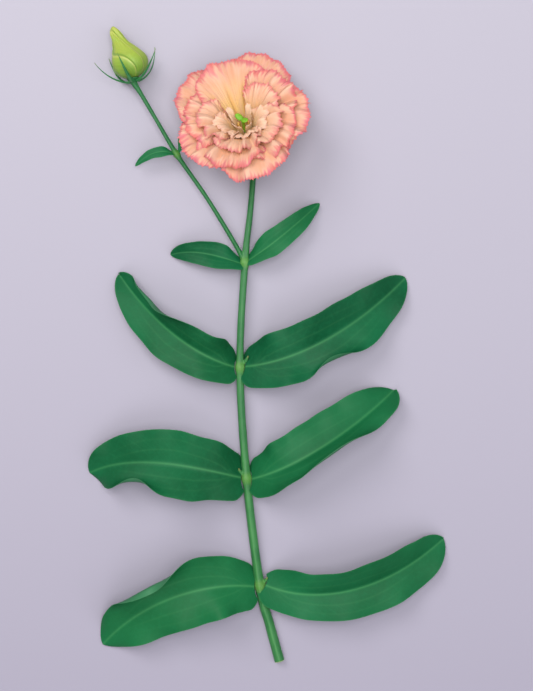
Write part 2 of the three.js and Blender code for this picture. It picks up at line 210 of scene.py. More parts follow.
class Paint:
    """Short calls for building a material's nodes."""

    def __init__(self, name):
        self.mat = bpy.data.materials.new(name)
        self.mat.use_nodes = True
        self.nt = self.mat.node_tree
        self.nt.nodes.clear()

    def put(self, target, value):
        if isinstance(value, bpy.types.NodeSocket):
            self.nt.links.new(value, target)
        elif isinstance(value, (tuple, list)) and len(value) == 3 and target.type == "RGBA":
            target.default_value = (*value, 1)
        else:
            target.default_value = value

    def node(self, kind, inputs=(), **props):
        n = self.nt.nodes.new(kind)
        for k, v in props.items():
            setattr(n, k, v)
        for k, v in dict(inputs).items():
            self.put(n.inputs[k], v)
        return n

    def attr(self, name):
        return self.node("ShaderNodeAttribute", attribute_name=name, attribute_type="GEOMETRY").outputs["Fac"]

    def math(self, op, a, b=0.0, c=0.0, clamp=False):
        n = self.node("ShaderNodeMath", {0: a, 1: b, 2: c}, operation=op)
        n.use_clamp = clamp
        return n.outputs[0]

    def band(self, x, lo, hi, out_lo=0.0, out_hi=1.0):
        n = self.node("ShaderNodeMapRange", {"Value": x, "From Min": lo, "From Max": hi, "To Min": out_lo, "To Max": out_hi}, interpolation_type="SMOOTHSTEP")
        return n.outputs[0]

    def vec(self, x, y=0.0, z=0.0):
        return self.node("ShaderNodeCombineXYZ", {0: x, 1: y, 2: z}).outputs[0]

    def noise(self, vector, scale, detail=3.0, rough=0.55, distortion=0.0):
        n = self.node("ShaderNodeTexNoise", {"Vector": vector, "Scale": scale, "Detail": detail, "Roughness": rough, "Distortion": distortion})
        return n.outputs["Fac"] if "Fac" in n.outputs else n.outputs[0]

    def mix(self, fac, a, b, blend="MIX"):
        n = self.nt.nodes.new("ShaderNodeMix")
        n.data_type, n.blend_type = "RGBA", blend
        self.put(n.inputs[0], fac)
        self.put(n.inputs[6], a)
        self.put(n.inputs[7], b)
        return n.outputs[2]

    def place(self):
        return self.node("ShaderNodeTexCoord").outputs["Object"]

    def bump(self, height, strength, distance, normal=None):
        ins = {"Height": height, "Strength": strength, "Distance": distance}
        if normal is not None:
            ins["Normal"] = normal
        return self.node("ShaderNodeBump", ins).outputs[0]

    def surface(self, colour, rough, normal=None, glow=None, glow_part=0.0, **fixed):
        """The finished surface; glow is the colour that light takes on its way through a thin sheet."""
        p = self.node("ShaderNodeBsdfPrincipled", {"Base Color": colour, "Roughness": rough})
        for k, v in fixed.items():
            self.put(p.inputs[k.replace("_", " ")], v)
        if normal is not None:
            self.put(p.inputs["Normal"], normal)
        out = self.node("ShaderNodeOutputMaterial")
        last = p.outputs[0]
        if glow is not None:
            t = self.node("ShaderNodeBsdfTranslucent", {"Color": glow})
            if normal is not None:
                self.put(t.inputs["Normal"], normal)
            m = self.node("ShaderNodeMixShader", {0: glow_part})
            self.nt.links.new(last, m.inputs[1])
            self.nt.links.new(t.outputs[0], m.inputs[2])
            last = m.outputs[0]
        self.nt.links.new(last, out.inputs["Surface"])
        return self.mat


def finish_piece(ob, material, slot, *nodes):
    ob.data.materials.append(material)
    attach(ob, "root")
    if nodes:
        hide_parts(*nodes)
    return ob


# ------------------------------------------------------------------ materials


def petal_material():
    p = Paint("petal")
    rim, arc, along, rnd, under, pale, fold, flush, crest = (p.attr(k) for k in ("rim", "arc", "along", "rnd", "under", "pale", "fold", "flush", "crest"))
    seed = p.math("MULTIPLY", rnd, 37.0)
    # streaks run from the rim towards the claw
    streak = p.noise(p.vec(p.math("MULTIPLY", arc, 0.62), p.math("MULTIPLY", rim, 0.07), seed), 1.0, 3.0, 0.6)
    hair = p.noise(p.vec(p.math("MULTIPLY", arc, 2.4), p.math("MULTIPLY", rim, 0.11), seed), 1.0, 2.0, 0.6)
    patch = p.noise(p.vec(p.math("MULTIPLY", arc, 0.10), p.math("MULTIPLY", rim, 0.08), seed), 1.0, 2.0, 0.5)
    # body colour: greenish cream claw, golden cream throat, peach blade with paler patches
    body = p.mix(p.band(along, 0.05, 0.26), (0.86, 0.74, 0.15), (1.0, 0.80, 0.26))
    body = p.mix(p.band(along, 0.38, 0.86), body, (0.745, 0.415, 0.270))
    body = p.mix(p.math("MULTIPLY", p.band(patch, 0.35, 0.72), 0.6), body, (0.81, 0.555, 0.385))
    body = p.mix(p.math("MULTIPLY", p.band(hair, 0.45, 0.8), 0.14), body, (0.86, 0.41, 0.235))
    # painted light on the ruffles: a painted highlight makes the crests paler and a painted shade makes their hollows
    # deeper
    upper = p.band(along, 0.22, 0.50)
    body = p.mix(p.math("MULTIPLY", p.math("MULTIPLY", p.band(crest, 0.45, 0.95), upper), 0.55), body, (0.93, 0.71, 0.565))
    body = p.mix(p.math("MULTIPLY", p.math("MULTIPLY", p.band(crest, 0.55, 0.05), upper), 0.45), body, (0.78, 0.36, 0.21))
    # painted shade in the creases: the valleys are coloured a deeper golden orange, less so on the paler inner whorls
    body = p.mix(p.math("MULTIPLY", fold, p.math("SUBTRACT", 0.50, p.math("MULTIPLY", pale, 0.32))), body, (0.93, 0.54, 0.13))
    body = p.mix(p.math("MULTIPLY", pale, 0.88), body, p.mix(p.band(along, 0.40, 0.90), (1.0, 0.84, 0.44), (1.0, 0.84, 0.64)))
    # pale halo just inside the rim, then the pink rim bleeding inward
    reach = p.math("ADD", 1.5, p.math("MULTIPLY", p.band(streak, 0.34, 0.74), 6.2))
    reach = p.math("MULTIPLY", p.math("MULTIPLY", reach, flush), p.math("ADD", 0.35, p.math("MULTIPLY", p.band(patch, 0.28, 0.72), 0.95)))
    hue = p.noise(p.vec(p.math("MULTIPLY", arc, 0.21), p.math("MULTIPLY", rim, 0.12), p.math("ADD", seed, 9.0)), 1.0, 2.0, 0.5)
    halo = p.math("SUBTRACT", 1.0, p.band(p.math("DIVIDE", rim, reach), 0.6, 3.0))
    body = p.mix(p.math("MULTIPLY", p.math("MULTIPLY", halo, 0.55), p.math("SUBTRACT", 1.0, p.math("MULTIPLY", pale, 0.85))), body, (0.83, 0.54, 0.45))
    blush = p.math("SUBTRACT", 1.0, p.band(p.math("DIVIDE", rim, reach), 0.10, 1.2))
    blush = p.math("MULTIPLY", blush, p.math("ADD", 0.62, p.math("MULTIPLY", hair, 0.62)), clamp=True)
    blush = p.math("MULTIPLY", blush, p.math("SUBTRACT", 1.0, p.math("MULTIPLY", pale, 0.62)))
    blush = p.math("MULTIPLY", blush, upper)
    body = p.mix(blush, body, p.mix(p.band(hue, 0.35, 0.68), (0.69, 0.095, 0.135), (0.66, 0.060, 0.23)))
    edge = p.math("MULTIPLY", p.math("MULTIPLY", upper, p.math("SUBTRACT", 1.0, p.band(rim, 0.1, 1.7))), p.math("SUBTRACT", 1.0, p.band(pale, 0.2, 0.8)))
    body = p.mix(p.math("MULTIPLY", edge, p.math("MULTIPLY", streak, 0.85)), body, (0.60, 0.045, 0.15))
    # the innermost petals end in a cream edge instead
    cream = p.math("MULTIPLY", p.band(pale, 0.3, 0.9), p.math("SUBTRACT", 1.0, p.band(rim, 0.3, 5.0)))
    body = p.mix(p.math("MULTIPLY", p.math("MULTIPLY", cream, 0.62), upper), body, (1.0, 0.90, 0.74))
    # the back is a little deeper
    body = p.mix(p.math("MULTIPLY", under, 0.3), body, (0.78, 0.41, 0.27))
    grain = p.noise(p.vec(p.math("MULTIPLY", arc, 3.2), p.math("MULTIPLY", rim, 0.5), seed), 1.0, 3.0, 0.6)
    normal = p.bump(grain, 0.3, 0.0003)
    rough = p.math("ADD", 0.52, p.math("MULTIPLY", grain, 0.16))
    return p.surface(body, rough, normal, glow=p.mix(0.45, body, (1.0, 0.83, 0.56)), glow_part=0.40, Specular_IOR_Level=0.25, Sheen_Weight=0.15, Sheen_Roughness=0.4)


def leaf_material():
    p = Paint("leaf")
    vein, fine, rnd, under, edge = (p.attr(k) for k in ("vein", "fine", "rnd", "under", "rim"))
    place = p.place()
    cloud = p.noise(place, 24.0, 2.0, 0.5)
    spot = p.noise(place, 420.0, 3.0, 0.6)
    body = p.mix(p.band(cloud, 0.3, 0.7), (0.002, 0.061, 0.022), (0.005, 0.100, 0.037))
    body = p.mix(p.math("MULTIPLY", rnd, 0.55), body, (0.012, 0.150, 0.044))
    body = p.mix(p.math("MULTIPLY", p.band(spot, 0.4, 0.75), 0.14), body, (0.010, 0.175, 0.066))
    body = p.mix(p.math("MULTIPLY", fine, 0.06), body, (0.030, 0.21, 0.08))
    body = p.mix(p.math("MULTIPLY", vein, 0.45), body, (0.070, 0.29, 0.10))
    # painted highlight: a paler green band along the leaf margin
    body = p.mix(p.math("MULTIPLY", p.math("SUBTRACT", 1.0, p.band(edge, 0.15, 0.9)), 0.3), body, (0.033, 0.19, 0.062))
    body = p.mix(p.math("MULTIPLY", under, 0.6), body, (0.055, 0.19, 0.095))
    height = p.math("ADD", p.math("MULTIPLY", spot, 0.5), p.math("MULTIPLY", p.noise(place, 1500.0, 2.0), 0.25))
    height = p.math("SUBTRACT", height, p.math("MULTIPLY", fine, 0.18))
    normal = p.bump(height, 0.3, 0.0004)
    rough = p.math("ADD", 0.46, p.math("MULTIPLY", spot, 0.08))
    return p.surface(body, rough, normal, glow=(0.04, 0.36, 0.03), glow_part=0.08, Specular_IOR_Level=0.13)


def stem_material():
    p = Paint("stem")
    node, ridge, cut, high, scar = (p.attr(k) for k in ("node", "ridge", "cut", "high", "scar"))
    place = p.place()
    cloud = p.noise(place, 60.0, 3.0)
    run = p.noise(p.node("ShaderNodeMapping", {"Vector": place, "Scale": (900.0, 60.0, 900.0)}).outputs[0], 1.0, 2.0)
    body = p.mix(p.band(cloud, 0.3, 0.7), (0.012, 0.108, 0.030), (0.034, 0.165, 0.046))
    body = p.mix(p.math("MULTIPLY", high, 0.7), body, (0.008, 0.098, 0.031))
    body = p.mix(p.math("MULTIPLY", p.band(run, 0.42, 0.72), 0.35), body, (0.052, 0.205, 0.058))
    body = p.mix(p.math("MULTIPLY", ridge, 0.35), body, (0.058, 0.215, 0.062))
    body = p.mix(p.math("MULTIPLY", node, 0.55), body, (0.14, 0.31, 0.045))
    body = p.mix(p.math("MULTIPLY", scar, 0.8), body, (0.20, 0.15, 0.05))
    body = p.mix(cut, body, (0.37, 0.44, 0.19))
    normal = p.bump(run, 0.3, 0.0003)
    return p.surface(body, 0.44, normal, Specular_IOR_Level=0.25, Subsurface_Weight=0.12, Subsurface_Scale=0.002, Subsurface_Radius=(0.6, 1.0, 0.3))


def sepal_material():
    p = Paint("sepal")
    along, keel = p.attr("along"), p.attr("vein")
    place = p.place()
    body = p.mix(p.band(p.noise(place, 220.0), 0.3, 0.7), (0.012, 0.12, 0.035), (0.03, 0.19, 0.05))
    body = p.mix(p.math("MULTIPLY", keel, 0.5), body, (0.10, 0.32, 0.09))
    body = p.mix(p.math("MULTIPLY", p.band(along, 0.8, 1.0), 0.6), body, (0.20, 0.22, 0.05))
    return p.surface(body, 0.45, p.bump(p.noise(place, 900.0), 0.25, 0.0002), Specular_IOR_Level=0.4)


def bud_material():
    p = Paint("bud")
    along, fold, lip, side = (p.attr(k) for k in ("along", "fold", "lip", "side"))
    place = p.place()
    streak = p.noise(p.vec(p.math("MULTIPLY", side, 26.0), p.math("MULTIPLY", along, 3.0), 1.7), 1.0, 3.0)
    body = p.mix(p.band(along, 0.0, 0.55), (0.134, 0.25, 0.030), (0.295, 0.366, 0.046))
    body = p.mix(p.math("MULTIPLY", p.band(streak, 0.4, 0.7), 0.45), body, (0.214, 0.375, 0.045))
    # painted shade: darker green in the hollow just under each wrapped petal's overlapping edge
    body = p.mix(p.math("MULTIPLY", fold, 0.6), body, (0.107, 0.232, 0.027))
    body = p.mix(p.math("MULTIPLY", lip, 0.6), body, (0.48, 0.48, 0.143))
    body = p.mix(p.math("MULTIPLY", p.band(along, 0.82, 1.0), 0.5), body, (0.446, 0.446, 0.09))
    return p.surface(body, 0.42, p.bump(p.math("ADD", streak, p.noise(place, 700.0)), 0.3, 0.0003), Specular_IOR_Level=0.4, Subsurface_Weight=0.2, Subsurface_Scale=0.003, Subsurface_Radius=(0.8, 1.0, 0.2))


def pistil_material():
    p = Paint("pistil")
    along = p.attr("along")
    place = p.place()
    body = p.mix(p.band(along, 0.55, 0.9), (0.26, 0.38, 0.04), (0.12, 0.33, 0.012))
    body = p.mix(p.math("MULTIPLY", p.band(p.noise(place, 800.0), 0.4, 0.7), 0.7), body, (0.22, 0.44, 0.02))
    return p.surface(body, 0.45, p.bump(p.noise(place, 2200.0, 2.0), 0.6, 0.0004), Specular_IOR_Level=0.4)


def stamen_material():
    p = Paint("stamen")
    along = p.attr("along")
    place = p.place()
    body = p.mix(p.band(along, 0.7, 0.78), (0.74, 0.66, 0.34), (0.72, 0.36, 0.06))
    body = p.mix(p.math("MULTIPLY", p.band(p.noise(place, 1600.0, 2.0), 0.45, 0.65), p.band(along, 0.7, 0.78)), body, (0.86, 0.62, 0.22))
    return p.surface(body, 0.7, p.bump(p.noise(place, 3000.0, 2.0), 0.7, 0.0003), Specular_IOR_Level=0.25)


PETAL, LEAF, STEM_M, SEPAL, BUD_M, PISTIL_M, STAMEN_M = (
    petal_material(), leaf_material(), stem_material(), sepal_material(), bud_material(), pistil_material(), stamen_material(),
)

# ------------------------------------------------------------------ the bloom's frame and cup

BLOOM_BASE = np.array([0, 128, 8.4])
TILT, AZ = math.radians(30), math.radians(108)
AXIS = np.array([math.sin(TILT) * math.cos(AZ), math.sin(TILT) * math.sin(AZ), math.cos(TILT)])
TURN = turn_to(AXIS)
ARC = [0, 12, 24, 36, 48]
WHORLS = [
    dict(r0=6.3, length=47, half=25, angle=[25, 33, 51, 76, 96], lean=-13, side=5),
    dict(r0=5.5, length=45, half=24, angle=[19, 27.5, 44.5, 68, 87], lean=-13, side=5),
    dict(r0=4.7, length=40, half=19, angle=[12, 19.5, 35, 59, 77], lean=-14, side=4),
    dict(r0=3.9, length=32, half=13, angle=[6, 13, 29.5, 52, 70], lean=-15, side=2),
    dict(r0=3.25, length=29, half=3.8, angle=[3, 5, 16.5, 40, 58], lean=-11, side=0),
]
PETALS = [
    ("petal_outer_1", 0, 144, 1.06, 1.0), ("petal_outer_2", 0, 72, 1.06, 1.0), ("petal_outer_3", 0, 0, 0.98, 1.0),
    ("petal_outer_4", 0, -72, 1.0, 1.02), ("petal_outer_5", 0, -144, 0.97, 1.0),
    ("petal_second_1", 1, 108, 1.08, 1.12), ("petal_second_2", 1, 36, 1.0, 1.0), ("petal_second_3", 1, -36, 0.98, 1.0),
    ("petal_second_4", 1, -108, 1.0, 1.0), ("petal_second_5", 1, 180, 0.98, 1.0),
    ("petal_third_1", 2, 33, 0.97, 1.0), ("petal_third_2", 2, -33, 1.0, 1.0), ("petal_third_3", 2, -99, 0.98, 1.0), ("petal_third_4", 2, -165, 1.0, 0.96),
    ("petal_fourth_1", 3, -14, 1.0, 1.0), ("petal_fourth_2", 3, -80, 0.96, 1.0), ("petal_fourth_3", 3, -146, 1.02, 0.96),
    ("petal_strip_1", 4, 50, 1.0, 1.0), ("petal_strip_2", 4, 164, 1.06, 1.0), ("petal_strip_3", 4, -48, 0.9, 1.0), ("petal_strip_4", 4, -112, 0.96, 1.0),
]


def cup(w, s, theta):
    """Radius, height and angle of a whorl's surface at arc length s and bearing theta."""
    steps = 40
    to_lean = np.cos(theta - AZ)
    r, z = np.full_like(s, w["r0"]), np.zeros_like(s)
    ds = s / steps

    def angle(x):
        a = np.interp(x, ARC, w["angle"])
        return np.radians(a + w["lean"] * to_lean * smooth(6, 36, x) - w["side"] * (1 - to_lean**2) * smooth(8, 30, x))

    for i in range(steps):
        a = angle((i + 0.5) * ds)
        r = r + np.sin(a) * ds
        z = z + np.cos(a) * ds
    return r, z, angle(s)


LAP = [1.35, 1.35, 1.25, 0.9, 0.25]
RUFFLE = [(13, 2.3), (15, 2.5), (16, 2.3), (14, 1.7), (9, 0.3)]  # waves per turn and height of each whorl's ruffle
RUFFLE_SEEDS = [11, 12, 13, 14, 15]


def calm(theta):
    """How much quieter the broad petals on the leaning side are."""
    return smooth(0.15, 0.85, np.cos(theta - AZ))


def ruffle(whorl, theta):
    n, height = RUFFLE[whorl]
    rng = np.random.default_rng(RUFFLE_SEEDS[whorl])
    return height * (1 - 0.6 * calm(theta)) * waves(theta, rng, [n, n + 5, n - 6, 2 * n + 3], [0.62, 0.34, 0.34, 0.18])


def creases(whorl, theta):
    """Narrow valleys that run up the inside of the cup."""
    rng = np.random.default_rng(70 + whorl)
    a, b = rng.uniform(0, TAU, 2)
    n = (13, 12, 11, 9, 5)[whorl]
    return np.clip(np.sin(n * theta + a + 0.9 * np.sin(2 * theta + b)), 0, 1) ** 3


def margin(length, half, rng, strip):
    """A petal's outline from one side of the claw over the top to the other, as (across, along)."""
    if strip:
        shape = [(0.5, 0.08), (0.62, 0.22), (0.8, 0.38), (0.95, 0.55), (1.0, 0.70), (0.92, 0.83), (0.70, 0.93), (0.36, 0.985), (0.0, 1.0)]
    else:
        shape = [(0.13, 0.10), (0.30, 0.22), (0.66, 0.37), (0.90, 0.52), (1.0, 0.67), (0.95, 0.81), (0.74, 0.925), (0.40, 0.985), (0.0, 1.0)]
    pts = [(-a, b) for a, b in shape] + [(a, b) for a, b in shape[-2::-1]]
    pts = np.array(pts) * [half, length]
    pts[3:-3, 1] += rng.uniform(-0.016, 0.016, len(pts) - 6) * length
    q, _ = catmull(np.column_stack([pts, np.zeros(len(pts))]), 900)
    return q[:, :2]


def petal(name, whorl, bearing, length_factor, width_factor, seed):
    rng = np.random.default_rng(seed)
    w = WHORLS[whorl]
    strip = whorl == 4
    length, half = w["length"] * length_factor, w["half"] * width_factor
    theta0 = math.radians(bearing)
    quiet = float(calm(theta0))
    line = margin(length, half, rng, strip)
    run = np.concatenate([[0], np.cumsum(np.linalg.norm(np.diff(line, axis=0), axis=1))])
    nx = int(max(90, run[-1] / 0.36) * FINE)
    ny = int((64, 62, 58, 50, 40)[whorl] * FINE)
    arc = np.linspace(0, run[-1], nx)
    rimline = np.column_stack([np.interp(arc, run, line[:, 0]), np.interp(arc, run, line[:, 1])])
    out = unit(np.gradient(rimline, axis=0))
    out = np.column_stack([-out[:, 1], out[:, 0]])
    free = smooth(0.28, 0.6, rimline[:, 1] / length)  # how free the margin is here: none at the claw

    # irregular teeth
    cuts = [0.0]
    while cuts[-1] < run[-1] + 4:
        cuts.append(cuts[-1] + rng.uniform(1.1, 2.5))
    cuts = np.array(cuts)
    depth = rng.uniform(0.45, 1.65, len(cuts)) * np.where(rng.random(len(cuts)) < 0.18, 1.7, 1.0)
    k = np.clip(np.searchsorted(cuts, arc, side="right") - 1, 0, len(cuts) - 2)
    f = (arc - cuts[k]) / (cuts[k + 1] - cuts[k])
    tip = rng.uniform(0.35, 0.65, len(cuts))[k]
    tooth = np.where(f < tip, f / tip, (1 - f) / (1 - tip)) ** 1.15 * depth[k] - 0.55
    tooth = tooth * (0.6 if strip else 1 - 0.25 * quiet)
    lobe = (0.4 if strip else 1.1 - 0.4 * quiet) * wander(arc, rng, 13, 1)

    base = np.column_stack([np.linspace(-1, 1, nx) * (0.09 * half + 0.8), np.zeros(nx)])
    v = 1 - (1 - np.linspace(0, 1, ny)) ** 1.3
    V = v[:, None]
    flat = base[None] * (1 - V[..., None]) + rimline[None] * V[..., None]
    rim = (1 - V) * np.linalg.norm(rimline - base, axis=1)[None]  # millimetres from the margin
    flat = flat + out[None] * (free * (tooth[None] * smooth(3.2, 0.0, rim) + lobe[None] * smooth(0.6, 1.0, V)))[..., None]
    across, s = flat[..., 0], np.maximum(flat[..., 1], 0.02)

    # across the petal to a bearing round the axis, held to the whorl's share of the circle
    table = np.linspace(0, length * 1.1, 160)
    rc = cup(w, table, np.full_like(table, theta0))[0]
    edge_half = np.interp(table, np.array([0, 0.1, 0.22, 0.37, 0.52, 0.67, 0.81, 1.2]) * length, np.array([0.1, 0.13, 0.30, 0.66, 0.90, 1.0, 1.0, 1.0]) * half)
    limit = 0.4 if strip else 0.54 + 0.34 * smooth(0.28, 0.55, table / length)
    squeeze = np.minimum(1.0, limit / (edge_half / rc))
    turn = across / np.interp(s, table, rc) * np.interp(s, table, squeeze)
    theta = theta0 + turn
    r, z, a = cup(w, s, theta)

    x = s / length
    lap = LAP[whorl] * smooth(0.12, 0.4, x) * np.clip(turn / 0.8, -1.2, 1.2)
    wave = ruffle(whorl, theta) * smooth(0.40, 0.98, x) ** 1.2
    lively = (0.35 if strip else 1 - 0.5 * quiet)
    frill = 0.85 * wander(arc, rng, 4.6, 2)[None] * smooth(6.5, 0.3, rim) + 0.9 * wander(arc, rng, 9.5, 1)[None] * smooth(11, 0.5, rim)
    roll = (0.9 + 0.9 * wander(arc, rng, 34, 1)[None]) * smooth(8, 0, rim) ** 2
    wave = wave + lively * frill * free[None]
    off = lap + wave - (0.2 if strip else 1.0) * roll * free[None]
    valley = creases(whorl, theta) * smooth(0.10, 0.26, x) * (1 - smooth(0.46, 0.80, x))
    off = off - (0.2 if strip else 0.95) * valley
    pleat = wander(turn * 30 + 3 * seed, rng, 3.6, 2)
    off = off + 0.17 * pleat * smooth(0.1, 0.4, x) * (1 - 0.5 * smooth(0.8, 1, V))
    rr, zz = r - np.cos(a) * off, z + np.sin(a) * off
    P = np.stack([rr * np.cos(theta), rr * np.sin(theta), zz + 0.3], -1)
    P = P @ TURN.T + BLOOM_BASE
    P[..., 2] = np.maximum(P[..., 2], 0.35)
    thickness = 0.24 + 0.5 * (1 - smooth(0, 0.35, x)) - 0.12 * smooth(0.9, 1.0, V)
    ob = shell(name + "_ruffled", P, thickness, {
        "rim": np.maximum(rim, 0), "arc": np.broadcast_to(arc[None] + seed * 60, rim.shape), "along": x, "rnd": np.full(rim.shape, (seed * 0.137) % 1.0),
        # crest carries the ruffle height for the painted highlight and painted shade; fold carries the creases for
        # painted shade
        "pale": np.full(rim.shape, (0.0, 0.1, 0.4, 0.75, 1.0)[whorl]), "fold": valley, "crest": smooth(-2.2, 2.4, wave), "flush": np.full(rim.shape, rng.uniform(0.85, 1.15) * (1 + 0.45 * quiet) * (1.0, 0.95, 0.8, 0.55, 0.4)[whorl]),
    })
    return finish_piece(ob, PETAL, "petal", name)


for i, (name, whorl, bearing, fl, fw) in enumerate(PETALS):
    petal(name, whorl, bearing, fl, fw, 100 + i)

# ------------------------------------------------------------------ pistil and stamens


def pistil():
    line = [(0.05, 0), (1.4, 0), (1.9, 3), (2.1, 7), (1.8, 11), (1.1, 14), (0.9, 17), (0.9, 20.5), (1.2, 21.8)]
    q, t = catmull([(a, 0, b) for a, b in line], 60)
    path = np.column_stack([np.zeros(60), np.zeros(60), q[:, 2]])
    path[:, 2] = np.maximum.accumulate(path[:, 2] + np.arange(60) * 1e-4)
    groove = lambda phi, k: 1 - 0.07 * np.exp(-((np.abs(np.sin(phi)) / 0.25) ** 2))
    rings = tube_verts(path, q[:, 0], 24, groove, (1, 0, 0))
    verts, faces = closed_rings(rings)
    along = list(verts[:, 2] / 24)
    verts, faces = list(verts), faces.tolist()
    rng = np.random.default_rng(5)
    # two broad stigma lobes with a warty face
    for sign in (1, -1):
        n, m = 22, 28
        th = np.linspace(0.001, math.pi - 0.001, n)
        ph = np.arange(m) / m * TAU
        X = np.sin(th)[:, None] * np.cos(ph)
        Y = np.sin(th)[:, None] * np.sin(ph)
        Z = np.cos(th)[:, None] * np.ones(m)
        wart = 1 + 0.05 * np.sin(9 * X + 2) * np.sin(8 * Y + 1) + 0.03 * rng.standard_normal(X.shape)
        lobe = np.stack([2.7 * X, 1.9 * Y, 0.95 * Z + 0.25 * X * X], -1) * wart[..., None]
        a = sign * -0.4
        c, s = math.cos(a), math.sin(a)
        lobe = np.stack([lobe[..., 0] * c + lobe[..., 2] * s, lobe[..., 1], -lobe[..., 0] * s + lobe[..., 2] * c], -1)
        lobe = lobe + [sign * 2.15, 0, 22.5]
        v, f = closed_rings(lobe[::-1])
        faces += (f + len(verts)).tolist()
        verts += list(v)
        along += [1.0] * len(v)
    P = np.array(verts) + [0, 0, 0.3]
    c, s = math.cos(-0.65), math.sin(-0.65)
    P = P @ np.array([[c, s, 0], [-s, c, 0], [0, 0, 1]])
    ob = make("pistil_lobed", P @ TURN.T + BLOOM_BASE, faces, {"along": along})
    finish_piece(ob, PISTIL_M, "pistil", "pistil")


def stamen(i):
    q, _ = catmull([[2.15, 0, 0.3], [2.7, 0, 6], [2.6, 0, 11], [2.7, 0, 15.0]], 26)
    verts, faces = closed_rings(tube_verts(q, np.linspace(0.42, 0.26, 26), 10, None, (1, 0, 0)))
    along = list(np.clip(verts[:, 2] / 22, 0, 0.69))
    verts, faces = list(verts), faces.tolist()
    # anther: two sacs side by side on the filament's end
    for sign in (1, -1):
        n = 20
        t = np.linspace(0, 1, n)
        path = np.column_stack([2.9 + 0.25 * (t - 0.5), sign * 0.42 * np.ones(n), 14.1 + 4.2 * t])
        radius = 0.62 * np.sqrt(np.clip(1 - (2 * t - 1) ** 2, 0.02, 1)) ** 0.7
        v, f = closed_rings(tube_verts(path, radius, 12, None, (1, 0, 0)))
        faces += (f + len(verts)).tolist()
        verts += list(v)
        along += [1.0] * len(v)
    a = math.radians(72 * i + 25)
    c, s = math.cos(a), math.sin(a)
    P = np.array(verts) @ np.array([[c, s, 0], [-s, c, 0], [0, 0, 1]])
    ob = make(f"stamen_{i + 1}_fine", P @ TURN.T + BLOOM_BASE, faces, {"along": along})
    finish_piece(ob, STAMEN_M, "stamen", f"stamen_{i + 1}")


pistil()
for i in range(5):
    stamen(i)

# ------------------------------------------------------------------ sepals


def sepal(name, node, r0, length, half, angles, drop, bearing, base, turn, root, seed):
    """A keeled needle; its root reaches back from the CAD node's start into the receptacle, where it widens."""
    rng = np.random.default_rng(seed)
    ny, nx = int(66 * FINE), 15
    v, u = np.meshgrid(np.linspace(0, 1, ny), np.linspace(-1, 1, nx), indexing="ij")
    s = np.linspace(-root, length, 241)
    a = np.radians(np.interp(s, [-root, 0, 0.5 * length, length], [88, *angles]))
    step = 0.5 * (s[1] - s[0])
    R = np.concatenate([[0], np.cumsum((np.sin(a[1:]) + np.sin(a[:-1])) * step)])
    Z = np.concatenate([[0], np.cumsum((np.cos(a[1:]) + np.cos(a[:-1])) * step)])
    R, Z = R - np.interp(0, s, R) + r0, Z - np.interp(0, s, Z) + drop
    at = (s + root) / (length + root)
    r, z, ang = np.interp(v, at, R), np.interp(v, at, Z), np.interp(v, at, a)
    hw = half * (1 - 0.93 * v**1.5) * (1 + 0.04 * wander(v * 20, rng, 7, 1)) * (1 + 0.6 * smooth(0.16, 0.0, v))
    keel = 0.45 * half * (1 - u * u) ** 0.8 * (1 - v)
    sway = 0.5 * np.sin(3.0 * v + rng.uniform(0, 6)) * v * length / 22
    P = np.stack([r + keel * np.cos(ang), u * hw + sway, z - keel * np.sin(ang)], -1)
    b = math.radians(bearing)
    c, s = math.cos(b), math.sin(b)
    P = P @ np.array([[c, s, 0], [-s, c, 0], [0, 0, 1]])
    P = P @ turn.T + base
    P[..., 2] = np.maximum(P[..., 2], 0.3)
    thick = (0.5 + 0.35 * np.exp(-((u / 0.3) ** 2))) * (1 - 0.6 * v)
    ob = shell(name, P, thick, {"along": v, "vein": np.exp(-((u / 0.16) ** 2))})
    finish_piece(ob, SEPAL, "sepal", node)


for i, spread in enumerate([[62, 48, 34], [62, 55, 46], [62, 50, 40], [62, 46, 30], [62, 52, 44]]):
    sepal(f"sepal_{i + 1}_keeled", f"sepal_{i + 1}", 7.5, 23.3, 1.7, spread, -2.2, 72 * i + 8, BLOOM_BASE, TURN, 2.6, 300 + i)

# ------------------------------------------------------------------ stem and branch

STEM = [(19, -186, 3.2, 2.9), (13, -164, 3.3, 2.8), (7, -140, 4.2, 2.7), (-1, -75, 6.0, 2.5), (-5, -8, 7.0, 2.3), (-2, 55, 6.4, 2.1), (1, 84, 3.8, 1.8), (2.6, 103, 2.1, 1.7), (2.9, 115.5, 2.05, 1.7)]
BRANCH = [(-2, 55, 6.4, 1.5), (-9, 68, 8.0, 1.35), (-25, 94, 9.4, 1.25), (-43, 120, 9.8, 1.25), (-56, 142, 10.0, 1.2), (-64, 155.5, 10.6, 1.3)]
BUD_BASE = np.array([-69, 165.5, 11.1])
BUD_AXIS = unit(np.array([-0.22, 0.97, 0.02]))
BUD_TURN = turn_to(BUD_AXIS)


def stalk(table, tail, tail_radii, nodes, sides, seed, steps):
    rng = np.random.default_rng(seed)
    pts = np.array([p[:3] for p in table] + [list(t) for t in tail], float)
    rad = np.array([p[3] for p in table] + list(tail_radii), float)
    q, t = catmull(pts, steps * 4)
    run = np.concatenate([[0], np.cumsum(np.linalg.norm(np.diff(q, axis=0), axis=1))])
    even = np.linspace(0, run[-1], steps)
    path = np.column_stack([np.interp(even, run, q[:, k]) for k in range(3)])
    place = np.interp(even, run, t)
    radius = np.interp(place, np.arange(len(rad)), rad)
    mark = np.zeros(steps)
    for n in nodes:
        d = np.linalg.norm(path - pts[n], axis=1)
        radius = radius + 0.75 * np.exp(-((d / 2.4) ** 2)) + 0.2 * np.exp(-((d / 7) ** 2))
        mark = np.maximum(mark, np.exp(-((d / 2.0) ** 2)))
    radius = radius * (1 + 0.025 * wander(even, rng, 25, 2))
    twist = 0.004 * even
    ridges = lambda phi, k: 1 + 0.035 * np.cos(4 * (phi + twist[k])) + 0.012 * np.cos(9 * phi + 0.03 * even[k])
    return path, radius, mark, tube_verts(path, radius, sides, ridges)


